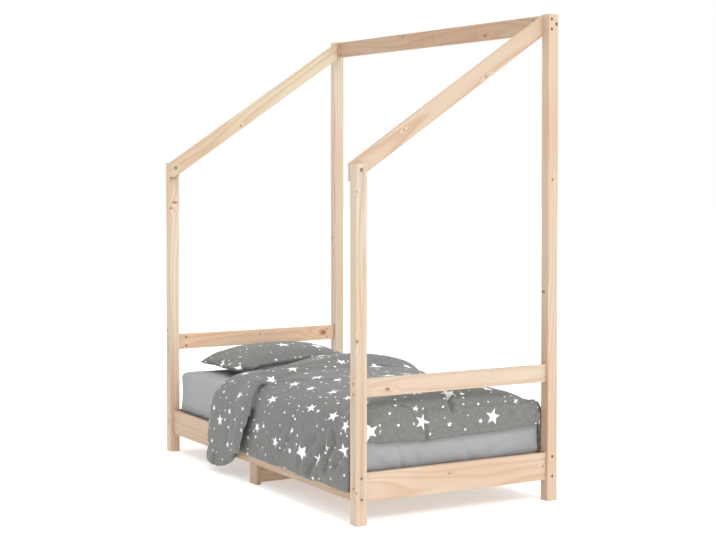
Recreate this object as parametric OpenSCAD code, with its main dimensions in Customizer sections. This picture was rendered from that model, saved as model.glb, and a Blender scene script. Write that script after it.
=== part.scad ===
// Child's bed with a lean-to roof frame. Four square pine posts carry bolted side
// and end rails, two sloping rafters and one ridge beam. A slatted base with a
// centre support holds the mattress, the pillow and a quilt that is folded back.
// X runs from the head end (-) to the foot end (+). Y runs from the open side (-)
// to the wall side (+). The origin is on the floor, midway between the posts.

/* [Frame] */
// Length over the posts
overall_len = 1710; // [1500:1:2200]
// Width over the posts
overall_wid = 888; // [780:1:1100]
// Height of the two posts on the wall side
tall_h = 1858; // [1700:1:2100]
// Height of the two posts on the open side, at their outer face
short_h = 1292; // [1100:1:1400]
// Side of the square post section
post = 45; // [40:1:60]
// Thickness of every rail, rafter, slat and leg board
board = 18; // [16:0.5:20]
// Rounding of the long edges of posts and rails
edge_r = 2.5; // [1:0.5:4]

/* [Rails] */
// Height of the four lower rails
low_h = 105; // [95:1:140]
// Gap between the floor and the lower rails
low_z = 80; // [60:1:120]
// Height of the two upper end rails
guard_h = 67; // [60:1:90]
// Underside of the upper end rails above the floor
guard_z = 456; // [440:1:560]

/* [Roof] */
// Height of the ridge beam
ridge_h = 70; // [60:1:90]
// Top of the ridge beam below the top of the tall posts
ridge_drop = 3; // [0:1:10]
// Face of the ridge beam behind the front face of the tall posts
ridge_set = 5; // [2:0.5:8]
// Depth of the rafters, square to their slope
rafter_h = 64; // [55:1:80]
// Depth that the rafters are let into the posts
housing = 5; // [2:0.5:8]
// Clearance around a rafter in its housing
housing_gap = 0.2; // [0.1:0.1:0.5]
// Top edge of the rafter meets the post top this far behind the post's face
crest_back = 9; // [0:1:20]
// Height of the plumb cut at the lower end of the rafters
plumb_h = 64; // [50:1:70]

/* [Slatted base] */
// Width of a slat
slat_w = 70; // [50:1:80]
// Top of the slats below the top of the lower rails
slat_sink = 15; // [5:1:30]
// Clearance between a slat's end and the side rail
slat_gap = 2; // [1:0.5:4]
// Clearance between the end rail and the first slat
slat_margin = 18; // [10:1:40]
// Width of the ledger strips
ledger_w = 25; // [22:1:35]
// Height of the ledger strips
ledger_h = 30; // [24:1:34]
// Clearance between a ledger strip and the posts
ledger_gap = 20; // [5:1:60]
// Width of the centre legs
leg_w = 60; // [40:1:100]
// Gap between the floor and the centre cross board
cross_z = 5; // [3:1:15]
// Clearance of the cross board around the ledger strips
notch_gap = 0.5; // [0.3:0.1:2]

/* [Fasteners] */
// Length of the bolts that hold the rails
rail_bolt_l = 80; // [70:5:90]
// Length of the bolts that hold the ridge beam
ridge_bolt_l = 100; // [95:5:110]
// Shank diameter of the bolts
bolt_d = 6; // [5:1:6]
// Diameter of the bolt holes
bolt_hole_d = 7; // [6.5:0.1:7.5]
// Diameter of the bolt heads
head_d = 10; // [9:0.5:10]
// Height of the bolt heads
head_h = 6; // [4:0.5:7]
// Diameter of the counterbores
counterbore_d = 11; // [10.5:0.1:12]
// Depth of the counterbores
counterbore_l = 10; // [8:0.5:14]
// Diameter of the barrel nuts
nut_d = 10; // [9:0.5:10]
// Diameter of the holes for the barrel nuts
nut_hole_d = 10.4; // [10.2:0.1:11]
// Depth of the holes for the barrel nuts
nut_hole_l = 14.5; // [13:0.1:14.8]
// Barrel nut below the face of the rail
nut_sink = 0.5; // [0.2:0.1:1]
// Distance from the end of a rail to its barrel nuts
nut_inset = 38; // [25:1:40]
// Distance from the head end of the ridge beam to its barrel nuts
ridge_nut_head = 31; // [25:1:45]
// Distance from the foot end of the ridge beam to its barrel nuts
ridge_nut_foot = 49; // [25:1:49]
// Distance between the two bolts of an upper rail or of the ridge beam
pair_gap = 38; // [30:1:45]
// Distance between the two bolts of a side rail
side_pair_gap = 76; // [70:1:80]
// Diameter of the rafter bolt's head and sleeve flange at the eaves
eaves_head_d = 15; // [12:0.5:15]
// Diameter of the rafter bolt's head and sleeve flange at the crest
crest_head_d = 12; // [10:0.5:12]
// Distance from the back face of the tall post to the crest bolt
crest_bolt_in = 9.5; // [8:0.5:11]
// Recess for the heads and flanges of the rafter bolts
flange_sink = 4; // [3:0.5:6]
// Diameter of the wood screws
screw_d = 4; // [3.5:0.5:4.5]
// Length of the slat and ledger screws
screw_l = 35; // [30:1:38]
// Length of the screws through the centre legs
leg_screw_l = 60; // [45:1:70]
// Diameter of the dowels in the lower end rails
dowel_d = 8; // [6:1:8]
// Distance between the two dowels at one end
dowel_pair_gap = 60; // [50:1:70]

/* [Bedding] */
// Thickness of the mattress at its middle
mattress_h = 190; // [120:1:200]
// Gap between the mattress and each end rail
mattress_end_gap = 23.5; // [5:0.5:40]
// Gap between the mattress and each side rail
mattress_side_gap = 12.5; // [5:0.5:20]
// Length of the pillow, across the bed
pillow_len = 605; // [500:5:720]
// Width of the pillow, along the bed
pillow_wid = 385; // [300:5:385]
// Thickness of the pillow
pillow_h = 118; // [80:1:130]
// Gap between the pillow and the head rails
pillow_back = 33; // [20:1:35]
// Height of the quilt above the mattress
quilt_h = 64; // [40:1:80]
// Extra height where the quilt is folded back
fold_h = 42; // [5:1:50]
// Length of the stretch that is folded back
fold_len = 340; // [200:5:400]
// Head edge of the quilt behind the outer face of the head posts
quilt_start = 455; // [445:5:560]
// Thickness of the quilt where it hangs over the side rail
quilt_side = 20; // [12:1:22]
// Extra thickness of the folded stretch where it hangs
fold_side = 12; // [2:1:12]
// Hem of the quilt above the underside of the side rail
quilt_hem = 36; // [10:1:60]
// Hem of the folded stretch below the underside of the side rail
fold_hem = 52; // [0:1:60]
// Hem of the quilt at the foot end below the top of the mattress
foot_hem = 85; // [60:1:100]
// Depth of the folds in the hanging side
fold_wave = 7; // [0:0.5:8]

/* [Hidden] */

$fn = 48;
over = 1; // cutters reach this far past a face
pine = "burlywood";
steel = "silver";

half_l = overall_len / 2;
half_w = overall_wid / 2;
post_x = half_l - post / 2;
post_y = half_w - post / 2;
inner_x = half_l - post; // faces between the head and foot posts
inner_y = half_w - post; // faces between the front and rear posts
rail_in_x = post_x - board / 2; // inner faces of the end rails
rail_in_y = post_y - board / 2; // inner faces of the side rails

low_mid = low_z + low_h / 2;
guard_mid = guard_z + guard_h / 2;
ridge_mid = tall_h - ridge_drop - ridge_h / 2;
ridge_y = inner_y + ridge_set + board / 2;

slope = (tall_h - short_h) / (overall_wid - post + crest_back);
rafter_drop = rafter_h * sqrt(1 + slope * slope);
rafter_x = inner_x + housing - board; // inner face of a rafter
eaves_bolt_z = roof_z(-post_y) - rafter_drop / 2;
crest_bolt_y = half_w - crest_bolt_in;

slat_top = low_z + low_h - slat_sink;
ledger_top = slat_top - board;
slat_n = 15;
slat_step = (2 * (rail_in_x - slat_margin) - slat_w) / (slat_n - 1);
leg_screw_zs = [low_z * 0.26, low_z * 0.74];
ledger_screw_slots = [-6, -4, -2, 2, 4, 6]; // between which slats, from the middle

rail_bolt_grip = post - counterbore_l;
rail_bore_l = rail_bolt_l - rail_bolt_grip + 3; // end bore, past the bolt's tip
ridge_bore_l = ridge_bolt_l - rail_bolt_grip - board + housing + 3;

soft_gap = 0.4; // between a soft form and what it lies on
mattress_l = 2 * (rail_in_x - mattress_end_gap);
mattress_w = 2 * (rail_in_y - mattress_side_gap);
mattress_z = slat_top + soft_gap;
mattress_top = slat_top + mattress_h;

// Height of the rafters' upper edge at a distance y from the middle
function roof_z(y) = short_h + slope * (y + half_w);
function mix(a, b, t) = a + (b - a) * t;
// 0 at the rim and 1 from r inwards, along a quarter circle
function quarter(d, r) = d >= r ? 1 : d <= 0 ? 0 : sqrt(1 - pow(1 - d / r, 2));
function ease(t) = t <= 0 ? 0 : t >= 1 ? 1 : t * t * (3 - 2 * t);
function slat_x(i) = (i - (slat_n + 1) / 2) * slat_step;

// Bars and bores
module round_rect(w, h) {
    for (size = [[w - 2 * edge_r, h], [w, h - 2 * edge_r]])
        square(size, center = true);
    for (x = [-1, 1], y = [-1, 1])
        translate([x * (w / 2 - edge_r), y * (h / 2 - edge_r)]) circle(edge_r);
}
module bar_x(l, w, h) {
    translate([-l / 2, 0, 0]) rotate([90, 0, 90]) linear_extrude(l) round_rect(w, h);
}
module bar_y(l, w, h) {
    translate([0, l / 2, 0]) rotate([90, 0, 0]) linear_extrude(l) round_rect(w, h);
}
module plate_yz(x, thick, points) {
    translate([x, 0, 0]) rotate([90, 0, 90]) linear_extrude(thick) polygon(points);
}
module bore_x(x0, x1, y, z, d) {
    translate([x0, y, z]) rotate([0, 90, 0]) cylinder(d = d, h = x1 - x0);
}
module bore_y(y0, y1, x, z, d) {
    translate([x, y0, z]) rotate([-90, 0, 0]) cylinder(d = d, h = y1 - y0);
}
// Copies of a piece at the four corners, the two ends or the two sides
module corners() {
    children();
    mirror([1, 0, 0]) children();
    mirror([0, 1, 0]) children();
    rotate(180) children();
}
module ends() {
    children();
    mirror([1, 0, 0]) children();
}
module sides() {
    children();
    mirror([0, 1, 0]) children();
}
module pair_z(mid, gap) {
    for (z = [mid - gap / 2, mid + gap / 2])
        translate([0, 0, z]) children();
}

// Posts, made at the foot end
module corner_bores() {
    pair_z(low_mid, side_pair_gap) {
        bore_x(inner_x - over, half_l + over, post_y, 0, bolt_hole_d);
        bore_x(half_l - counterbore_l, half_l + over, post_y, 0, counterbore_d);
    }
    pair_z(guard_mid, pair_gap) {
        bore_y(inner_y - over, half_w + over, post_x, 0, bolt_hole_d);
        bore_y(half_w - counterbore_l, half_w + over, post_x, 0, counterbore_d);
    }
    bore_y(inner_y - over, half_w + over, post_x, low_mid, bolt_hole_d);
    bore_y(half_w - counterbore_l, half_w + over, post_x, low_mid, counterbore_d);
    pair_z(low_mid, dowel_pair_gap)
        bore_y(inner_y - over, inner_y + 14, post_x, 0, dowel_d + 0.2);
}
// The rafter's side view, larger by g all round
function rafter_side(g) = let (
    y0 = -half_w - g,
    y1 = half_w + g,
    seat_z = short_h - plumb_h - g,
    crest_y = -half_w + (tall_h - short_h) / slope,
    seat_y = -half_w + (seat_z - short_h + rafter_drop + g) / slope
) [
    [y0, seat_z],
    [y0, roof_z(y0) + g],
    [crest_y, tall_h + g],
    [y1, tall_h + g],
    [y1, roof_z(y1) - rafter_drop - g],
    [seat_y, seat_z]
];
module housing_cut() {
    plate_yz(inner_x - over, over + housing, rafter_side(housing_gap));
}
module sleeve_bore(y, z, d) {
    bore_x(rafter_x - over, half_l + over, y, z, sleeve_d(d) + 0.4);
    bore_x(rafter_x - over, rafter_x + flange_sink, y, z, d + 1);
    bore_x(half_l - flange_sink - 2, half_l + over, y, z, d + 1);
}
function sleeve_d(d) = d * 0.6;
module short_post() {
    difference() {
        translate([post_x, -post_y, 0]) linear_extrude(roof_z(-inner_y)) round_rect(post, post);
        plate_yz(inner_x - over, post + 2 * over, [
            [-half_w - over, roof_z(-half_w - over)],
            [-inner_y + over, roof_z(-inner_y + over)],
            [-half_w - over, roof_z(-inner_y + over)]
        ]);
        housing_cut();
        sleeve_bore(-post_y, eaves_bolt_z, eaves_head_d);
        mirror([0, 1, 0]) corner_bores();
    }
}
module tall_post() {
    difference() {
        translate([post_x, post_y, 0]) linear_extrude(tall_h) round_rect(post, post);
        housing_cut();
        sleeve_bore(crest_bolt_y, ridge_mid, crest_head_d);
        pair_z(ridge_mid, pair_gap) {
            bore_x(inner_x - over, half_l + over, ridge_y, 0, bolt_hole_d);
            bore_x(half_l - counterbore_l, half_l + over, ridge_y, 0, counterbore_d);
        }
        corner_bores();
    }
}
module post_head_front() { color(pine) mirror([1, 0, 0]) short_post(); }
module post_foot_front() { color(pine) short_post(); }
module post_head_rear() { color(pine) mirror([1, 0, 0]) tall_post(); }
module post_foot_rear() { color(pine) tall_post(); }

// Rails
module side_rail() {
    color(pine) difference() {
        translate([0, post_y, low_mid]) bar_x(2 * inner_x, board, low_h);
        ends() pair_z(low_mid, side_pair_gap) {
            bore_x(inner_x - rail_bore_l, inner_x + over, post_y, 0, bolt_hole_d);
            bore_y(rail_in_y - over, rail_in_y + nut_hole_l, inner_x - nut_inset, 0, nut_hole_d);
        }
        ledger_screw_cut();
    }
}
module side_rail_front() { mirror([0, 1, 0]) side_rail(); }
module side_rail_rear() { side_rail(); }

module end_rail_bores(mid, gap) {
    sides() pair_z(mid, gap) {
        bore_y(inner_y - rail_bore_l, inner_y + over, post_x, 0, bolt_hole_d);
        bore_x(rail_in_x - over, rail_in_x + nut_hole_l, inner_y - nut_inset, 0, nut_hole_d);
    }
}
module lower_rail() {
    color(pine) difference() {
        translate([post_x, 0, low_mid]) bar_y(2 * inner_y, board, low_h);
        end_rail_bores(low_mid, 0);
        sides() pair_z(low_mid, dowel_pair_gap)
            bore_y(inner_y - 16, inner_y + over, post_x, 0, dowel_d + 0.2);
    }
}
module upper_rail() {
    color(pine) difference() {
        translate([post_x, 0, guard_mid]) bar_y(2 * inner_y, board, guard_h);
        end_rail_bores(guard_mid, pair_gap);
    }
}
module lower_rail_head() { mirror([1, 0, 0]) lower_rail(); }
module lower_rail_foot() { lower_rail(); }
module upper_rail_head() { mirror([1, 0, 0]) upper_rail(); }
module upper_rail_foot() { upper_rail(); }

// Roof
module rafter() {
    color(pine) difference() {
        plate_yz(rafter_x, board, rafter_side(0));
        sleeve_bore(-post_y, eaves_bolt_z, eaves_head_d);
        sleeve_bore(crest_bolt_y, ridge_mid, crest_head_d);
        pair_z(ridge_mid, pair_gap)
            bore_x(rafter_x - over, inner_x + housing + over, ridge_y, 0, bolt_hole_d);
    }
}
module rafter_head() { mirror([1, 0, 0]) rafter(); }
module rafter_foot() { rafter(); }

module ridge_nut_hole(x) {
    pair_z(ridge_mid, pair_gap)
        bore_y(inner_y + ridge_set - over, inner_y + ridge_set + nut_hole_l, x, 0, nut_hole_d);
}
module ridge_beam() {
    color(pine) difference() {
        translate([0, ridge_y, ridge_mid]) bar_x(2 * rafter_x, board, ridge_h);
        ends() pair_z(ridge_mid, pair_gap)
            bore_x(rafter_x - ridge_bore_l, rafter_x + over, ridge_y, 0, bolt_hole_d);
        ridge_nut_hole(ridge_nut_head - rafter_x);
        ridge_nut_hole(rafter_x - ridge_nut_foot);
    }
}

// Slatted base
module screw_cut(l) {
    translate([0, 0, -l]) cylinder(d = screw_d + 0.2, h = l + over);
    translate([0, 0, -screw_head_l])
        cylinder(d1 = screw_d + 0.2, d2 = 2 * screw_d + 0.4, h = screw_head_l);
    cylinder(d = 2 * screw_d + 0.4, h = over);
}
screw_head_l = 2.6;
module screw() {
    color(steel) difference() {
        union() {
            translate([0, 0, -screw_head_l])
                cylinder(d1 = screw_d, d2 = 2 * screw_d, h = screw_head_l - 0.2);
            translate([0, 0, 3 - $screw_l]) cylinder(d = screw_d, h = $screw_l - 3 - screw_head_l);
            translate([0, 0, -$screw_l]) cylinder(d1 = 0.8, d2 = screw_d, h = 3);
        }
        for (a = [0, 90])
            rotate(a) translate([-2, -0.4, -1.6]) cube([4, 0.8, 2]);
    }
}
module ledger_screw_places() {
    for (i = ledger_screw_slots)
        translate([(i - sign(i) / 2) * slat_step, rail_in_y - ledger_w, ledger_top - ledger_h / 2])
            rotate([90, 0, 0]) children();
}
module slat_screw_places(i) {
    sides() translate([slat_x(i), rail_in_y - ledger_w / 2, slat_top]) children();
}
module leg_screw_places() {
    for (z = leg_screw_zs)
        translate([0, post_y + board / 2, z]) rotate([-90, 0, 0]) children();
}
module ledger_screw_cut() { ledger_screw_places() screw_cut(screw_l + over); }

module ledger() {
    color(pine) difference() {
        translate([0, rail_in_y - ledger_w / 2, ledger_top - ledger_h / 2])
            cube([2 * (inner_x - ledger_gap), ledger_w, ledger_h], center = true);
        ledger_screw_cut();
        for (i = [1:slat_n])
            slat_screw_places(i) screw_cut(screw_l + over);
    }
}
module ledger_front() { mirror([0, 1, 0]) ledger(); }
module ledger_rear() { ledger(); }

module slat(i) {
    color(pine) difference() {
        translate([slat_x(i), 0, slat_top - board / 2])
            bar_y(2 * (rail_in_y - slat_gap), slat_w, board);
        slat_screw_places(i) screw_cut(screw_l);
    }
}

module cross_board() {
    notch_w = ledger_w + notch_gap;
    notch_z = ledger_top - ledger_h - notch_gap;
    color(pine) difference() {
        translate([-board / 2, -rail_in_y, cross_z])
            cube([board, 2 * rail_in_y, ledger_top - cross_z]);
        sides() translate([-board, rail_in_y - notch_w, notch_z])
            cube([2 * board, notch_w + over, ledger_top - notch_z + over]);
        sides() leg_screw_places() screw_cut(leg_screw_l + over);
    }
}
module leg() {
    color(pine) difference() {
        translate([0, post_y, low_z / 2]) cube([leg_w, board, low_z], center = true);
        leg_screw_places() screw_cut(leg_screw_l);
    }
}
module leg_front() { mirror([0, 1, 0]) leg(); }
module leg_rear() { leg(); }

// Bolts, nuts, sleeves and dowels. A bolt's head seat is at its z = 0
module cap_bolt(l) {
    color(steel) difference() {
        union() {
            cylinder(d = head_d, h = head_h);
            translate([0, 0, 1 - l]) cylinder(d = bolt_d, h = l - 1);
            translate([0, 0, -l]) cylinder(d1 = bolt_d - 1.4, d2 = bolt_d, h = 1);
        }
        translate([0, 0, head_h / 2]) cylinder(d = bolt_d * 0.95, h = head_h, $fn = 6);
    }
}
// Its screw hole runs along x
module barrel_nut() {
    color(steel) difference() {
        cylinder(d = nut_d, h = nut_hole_l - 2 * nut_sink);
        translate([-nut_d, 0, board / 2 - nut_sink]) rotate([0, 90, 0])
            cylinder(d = bolt_d + 0.2, h = 2 * nut_d);
        translate([-nut_d, -0.7, -1]) cube([2 * nut_d, 1.4, 2.2]);
    }
}
module flange_bolt(d) {
    grip = half_l - flange_sink - 2 - rafter_x - flange_sink;
    color(steel) difference() {
        union() {
            cylinder(d = d, h = 2);
            translate([0, 0, 6 - grip]) cylinder(d = sleeve_d(d) - 3, h = grip - 6);
        }
        translate([0, 0, 0.8]) cylinder(d = 4, h = 2, $fn = 6);
    }
}
module flange_sleeve(d) {
    color(steel) difference() {
        union() {
            cylinder(d = d, h = 2);
            translate([0, 0, -30]) cylinder(d = sleeve_d(d), h = 30);
        }
        translate([0, 0, -31]) cylinder(d = sleeve_d(d) - 2.8, h = 30);
        translate([0, 0, 0.8]) cylinder(d = 4, h = 2, $fn = 6);
    }
}
module side_rail_bolts() {
    corners() pair_z(low_mid, side_pair_gap)
        translate([half_l - counterbore_l, post_y, 0]) rotate([0, 90, 0]) cap_bolt(rail_bolt_l);
}
module side_rail_nuts() {
    corners() pair_z(low_mid, side_pair_gap)
        translate([inner_x - nut_inset, rail_in_y + nut_sink, 0]) rotate([-90, 0, 0]) barrel_nut();
}
module end_bolts(mid, gap) {
    corners() pair_z(mid, gap)
        translate([post_x, half_w - counterbore_l, 0]) rotate([-90, 0, 0]) cap_bolt(rail_bolt_l);
}
module end_nuts(mid, gap) {
    corners() pair_z(mid, gap)
        translate([rail_in_x + nut_sink, inner_y - nut_inset, 0])
            rotate([0, 90, 0]) rotate(90) barrel_nut();
}
module lower_rail_bolts() {
    corners() translate([post_x, half_w - counterbore_l, low_mid])
        rotate([-90, 0, 0]) cap_bolt(rail_bolt_l);
}
module lower_rail_nuts() {
    corners() translate([rail_in_x + nut_sink, inner_y - nut_inset, low_mid])
        rotate([0, 90, 0]) rotate(90) barrel_nut();
}
module upper_rail_bolts() { end_bolts(guard_mid, pair_gap); }
module upper_rail_nuts() { end_nuts(guard_mid, pair_gap); }
module ridge_bolts() {
    ends() pair_z(ridge_mid, pair_gap)
        translate([half_l - counterbore_l, ridge_y, 0]) rotate([0, 90, 0]) cap_bolt(ridge_bolt_l);
}
module ridge_nuts() {
    for (x = [ridge_nut_head - rafter_x, rafter_x - ridge_nut_foot])
        pair_z(ridge_mid, pair_gap)
            translate([x, inner_y + ridge_set + nut_sink, 0]) rotate([-90, 0, 0]) barrel_nut();
}
module rafter_fixing(y, z) {
    ends() translate([0, y, z]) children();
}
module bolt_side(d) {
    translate([half_l - flange_sink - 2, 0, 0]) rotate([0, 90, 0]) flange_bolt(d);
}
module sleeve_side(d) {
    translate([rafter_x + flange_sink, 0, 0]) rotate([0, -90, 0]) flange_sleeve(d);
}
module eaves_bolts() { rafter_fixing(-post_y, eaves_bolt_z) bolt_side(eaves_head_d); }
module eaves_sleeves() { rafter_fixing(-post_y, eaves_bolt_z) sleeve_side(eaves_head_d); }
module crest_bolts() { rafter_fixing(crest_bolt_y, ridge_mid) bolt_side(crest_head_d); }
module crest_sleeves() { rafter_fixing(crest_bolt_y, ridge_mid) sleeve_side(crest_head_d); }
module dowels() {
    color("wheat") corners() pair_z(low_mid, dowel_pair_gap)
        translate([post_x, inner_y - 15, 0]) rotate([-90, 0, 0]) {
            cylinder(d1 = dowel_d - 1.6, d2 = dowel_d, h = 1);
            translate([0, 0, 1]) cylinder(d = dowel_d, h = 26);
            translate([0, 0, 27]) cylinder(d1 = dowel_d, d2 = dowel_d - 1.6, h = 1);
        }
}
module ledger_screws() {
    $screw_l = screw_l;
    sides() ledger_screw_places() screw();
}
module slat_screws() {
    $screw_l = screw_l;
    for (i = [1:slat_n])
        slat_screw_places(i) screw();
}
module leg_screws() {
    $screw_l = leg_screw_l;
    sides() leg_screw_places() screw();
}

// Soft forms are skins over rings of points, closed by a face at each end
function ring_faces(n, rings) = [
    for (r = [0:rings - 2], i = [0:n - 1])
        let (a = r * n + i, b = r * n + (i + 1) % n)
            each [[a, b, b + n], [a, b + n, a + n]]
];
// End faces that run between the outer and the inner half of a ring
function strip(n, at) = [for (i = [0:n / 2 - 2]) [at + i, at + i + 1, at + n - 2 - i, at + n - 1 - i]];
function flip(faces) = [for (f = faces) [for (i = [len(f) - 1:-1:0]) f[i]]];
module skin(rings, hollow = false) {
    n = len(rings[0]);
    last = (len(rings) - 1) * n;
    lid = hollow ? strip(n, 0) : [[for (i = [0:n - 1]) i]];
    polyhedron([for (r = rings) each r], concat(
        ring_faces(n, len(rings)),
        flip(lid),
        [for (f = lid) [for (i = f) last + i]]
    ), convexity = 6);
}

// Mattress: crowned top, rounded corners and sides drawn in a little
mattress_r = 22; // rounding of the top and bottom edges
mattress_corner = 12; // rounding in plan
function plan_ring(hx, hy, r, z) = [
    for (q = [[1, -1, 270], [-1, -1, 180], [-1, 1, 90], [1, 1, 0]], a = [90:-15:0])
        [q[0] * (hx - r) + r * cos(q[2] + a), q[1] * (hy - r) + r * sin(q[2] + a), z]
];
function side_pull(t) = 4 * sin(180 * t);
module mattress() {
    hx = mattress_l / 2;
    hy = mattress_w / 2;
    crown = 4;
    body_h = mattress_h - soft_gap - crown;
    base = [for (a = [0:30:60]) [mattress_r * (1 - sin(a)), mattress_r * (1 - cos(a))]];
    wall = [for (t = [0:0.25:1]) [side_pull(t), mix(mattress_r, body_h - mattress_r, t)]];
    rim = [for (a = [60:-30:0]) [mattress_r * (1 - sin(a)), body_h - mattress_r * (1 - cos(a))]];
    swell = [for (k = [0.12, 0.25, 0.4]) [mattress_r + k * hy, body_h + crown * sin(225 * k)]];
    color("darkgray") skin([
        for (p = concat(base, wall, rim, swell))
            plan_ring(hx - p[0], hy - p[0], max(4, mattress_corner - p[0]), mattress_z + p[1])
    ]);
}

// Pillow: two crowned faces, edges drawn in between pointed corners
pillow_n = 16;
pillow_flat = 0.34; // share of the thickness below the seam
pillow_pull = 12; // how far the edges draw in
pillow_off = -16; // its middle lies this far behind the middle of the bed
function pillow_point(u, v, up) = let (
    body = pow(1 - pow(abs(u), 2.6), 0.62) * pow(1 - pow(abs(v), 2.6), 0.62),
    thick = pillow_h * (up > 0 ? 1 - pillow_flat : -pillow_flat)
) [
    u * (pillow_wid / 2 - pillow_pull * (1 - v * v)),
    v * (pillow_len / 2 - pillow_pull * (1 - u * u)),
    thick * body + (up > 0 ? 1 : 0)
];
module pillow() {
    n = pillow_n;
    grid = [for (i = [0:n]) -cos(180 * i / n)];
    px = -rail_in_x + pillow_back + pillow_wid / 2;
    pz = mattress_top + soft_gap + pillow_h * pillow_flat;
    points = [for (up = [1, -1], u = grid, v = grid) pillow_point(u, v, up)];
    m = (n + 1) * (n + 1);
    function id(i, j, s) = s * m + i * (n + 1) + j;
    faces = [for (s = [0, 1], i = [0:n - 1], j = [0:n - 1])
        let (a = id(i, j, s), b = id(i + 1, j, s), c = id(i + 1, j + 1, s), d = id(i, j + 1, s))
            each (s == 0 ? [[a, c, b], [a, d, c]] : [[a, b, c], [a, c, d]])];
    rim = [for (k = [0:n - 1]) each [
        [id(k, 0, 0), id(k + 1, 0, 0), id(k + 1, 0, 1)], [id(k, 0, 0), id(k + 1, 0, 1), id(k, 0, 1)],
        [id(k, n, 1), id(k + 1, n, 1), id(k + 1, n, 0)], [id(k, n, 1), id(k + 1, n, 0), id(k, n, 0)],
        [id(0, k, 1), id(0, k + 1, 1), id(0, k + 1, 0)], [id(0, k, 1), id(0, k + 1, 0), id(0, k, 0)],
        [id(n, k, 0), id(n, k + 1, 0), id(n, k + 1, 1)], [id(n, k, 0), id(n, k + 1, 1), id(n, k, 1)]
    ]];
    color("dimgray") translate([px, pillow_off, pz])
        polyhedron(points, concat(faces, rim), convexity = 4);
}

// Quilt: folded back at the head, over the side rail in front, down to the rail behind
quilt_x0 = quilt_start - half_l;
fold_x = quilt_x0 + fold_len;
quilt_mx = mattress_l / 2 + 0.8;
quilt_x1 = mattress_l / 2 + 19;
head_round = 60;
foot_round = 120;
hang_y = rail_in_y + board + 2; // inner side of the hanging cloth
inner_y_top = mattress_w / 2 + soft_gap;
inner_z_top = mattress_top + soft_gap;
near_z = mattress_top - 60; // the rounded shoulders start here
far_z = mattress_top - 30;
rail_z = low_z + low_h + 4;
far_hem_z = low_z + low_h + 4;
flap_z = mattress_top - foot_hem;
wave_len = 300;
function bulge(d, r) = d >= r ? 1 : d <= 0 ? 0 : 1 - pow(1 - d / r, 2);
function folded(x) = ease((fold_x + 6 - x) / 12);
function at_foot(x) = ease((x - quilt_mx + 160) / 150);
function quilt_top(x) = let (
    swell = 17 * ease((x - fold_x - 100) / 600),
    rim = quarter(x - quilt_x0 + 40, head_round + 40),
    main = (quilt_h + swell) * rim * quarter(quilt_x1 + 8 - x, foot_round),
    fold = fold_h * quarter(x - quilt_x0 + 12, 260) * quarter(fold_x - x, 30),
    dip = 10 * exp(-pow((x - fold_x - 8) / 16, 2))
) mattress_top + 4 + main + fold - dip;
// The folded stretch hangs down like a tongue
function quilt_low(x) = let (
    tongue = bulge(x - quilt_x0 + 38, 90) * bulge(fold_x - 50 - x, 177)
) low_z + mix(quilt_hem, -fold_hem, tongue);
function wave(x) = fold_wave * (0.5 - 0.5 * cos(360 * x / wave_len)) * (1 - folded(x));
// A quarter of a rounded arch, from a side at a = 0 to the crown at y = mid
function arc_point(y, z, top, n, a, mid = 0) = [
    mid + (y - mid) * pow(cos(a), 2 / n),
    mix(z, top, pow(sin(a), 2 / n))
];
function outer_path(x) = let (
    f = folded(x),
    foot = at_foot(x),
    flap = x > quilt_mx,
    hem = flap ? flap_z : quilt_low(x),
    far_hem = flap ? flap_z : far_hem_z,
    lean = flap ? 0 : 12 + 14 * f,
    round_in = 10 * (1 - quarter(x - quilt_x0, head_round)),
    near_y = flap ? mattress_w / 2 - 8 : hang_y + quilt_side + fold_side * f - lean - round_in,
    far_y = flap ? near_y : mattress_w / 2 + 16 + 24 * f,
    near_n = mix(2.3, 3.4, foot),
    far_n = flap ? 3.4 : mix(2.1, 2.4, f),
    top = quilt_top(x)
) concat(
    [for (t = [0, 0.12, 0.4, 0.7])
        [-near_y - (lean + wave(x)) * (1 - t) + (t == 0 ? 2 : 0), mix(hem, near_z, t)]],
    [for (a = [0:15:90]) arc_point(-near_y, near_z, top, near_n, a, 60 * f)],
    [for (a = [75:-15:0]) arc_point(far_y, far_z, top, far_n, a, 60 * f)],
    [for (t = [0.7, 0.35, 0]) [far_y - 18 * f * (1 - t) - (t == 0 ? 4 : 0), mix(far_hem, far_z, t)]]
);
function inner_path(x) = x > quilt_mx ? flap_path(mattress_w / 2 - 22) : concat(
    [for (t = [0, 0.5, 1]) [-hang_y - 0.9 * wave(x) * (1 - t), mix(quilt_low(x), rail_z, t)]],
    [[-(hang_y + inner_y_top) / 2, (rail_z + mattress_top - 40) / 2]],
    [for (a = [0:15:90]) arc_point(-inner_y_top, mattress_top - 40, inner_z_top, 12, a)],
    [for (a = [75:-15:0]) arc_point(inner_y_top, mattress_top - 40, inner_z_top, 12, a)],
    [for (t = [0.7, 0.35, 0]) [inner_y_top, mix(far_hem_z, mattress_top - 40, t)]]
);
// Underside of the flap at the foot end
function flap_path(y) = concat(
    [for (i = [4:-1:1]) [-y - 2 * i, flap_z + i / 4]],
    [for (i = [-6:6]) [y * i / 6, flap_z - 5 * (1 - i * i / 36)]],
    [for (i = [1:3]) [y + 2 * i, flap_z + i / 4]]
);
function reverse(list) = [for (i = [len(list) - 1:-1:0]) list[i]];
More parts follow.
